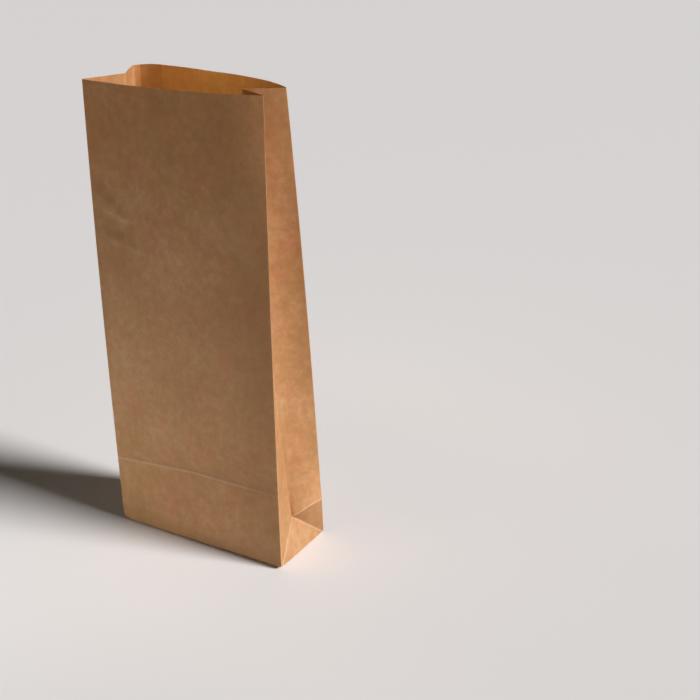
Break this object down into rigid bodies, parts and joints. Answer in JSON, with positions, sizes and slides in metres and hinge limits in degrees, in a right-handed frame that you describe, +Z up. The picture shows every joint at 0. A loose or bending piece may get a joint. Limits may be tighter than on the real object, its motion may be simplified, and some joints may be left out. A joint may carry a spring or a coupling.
{
  "type": "brown paper lunch bag",
  "caption": "Small brown kraft paper bag standing open, with a flat square base and V-folded side gussets, for carrying a lunch.",
  "frame": {"origin": "middle of the base, on the surface that the bag stands on", "axes": "+Z up to the mouth, -Y out of the plain front panel, +X along the front panel to its right"},
  "size_m": [0.1331, 0.0643, 0.297],
  "materials": {
    "kraft_paper": "matt unbleached kraft, mottled, lightly creased"
  },
  "bodies": {
    "root": {"paper_bag": "kraft_paper"}
  },
  "joints": []
}
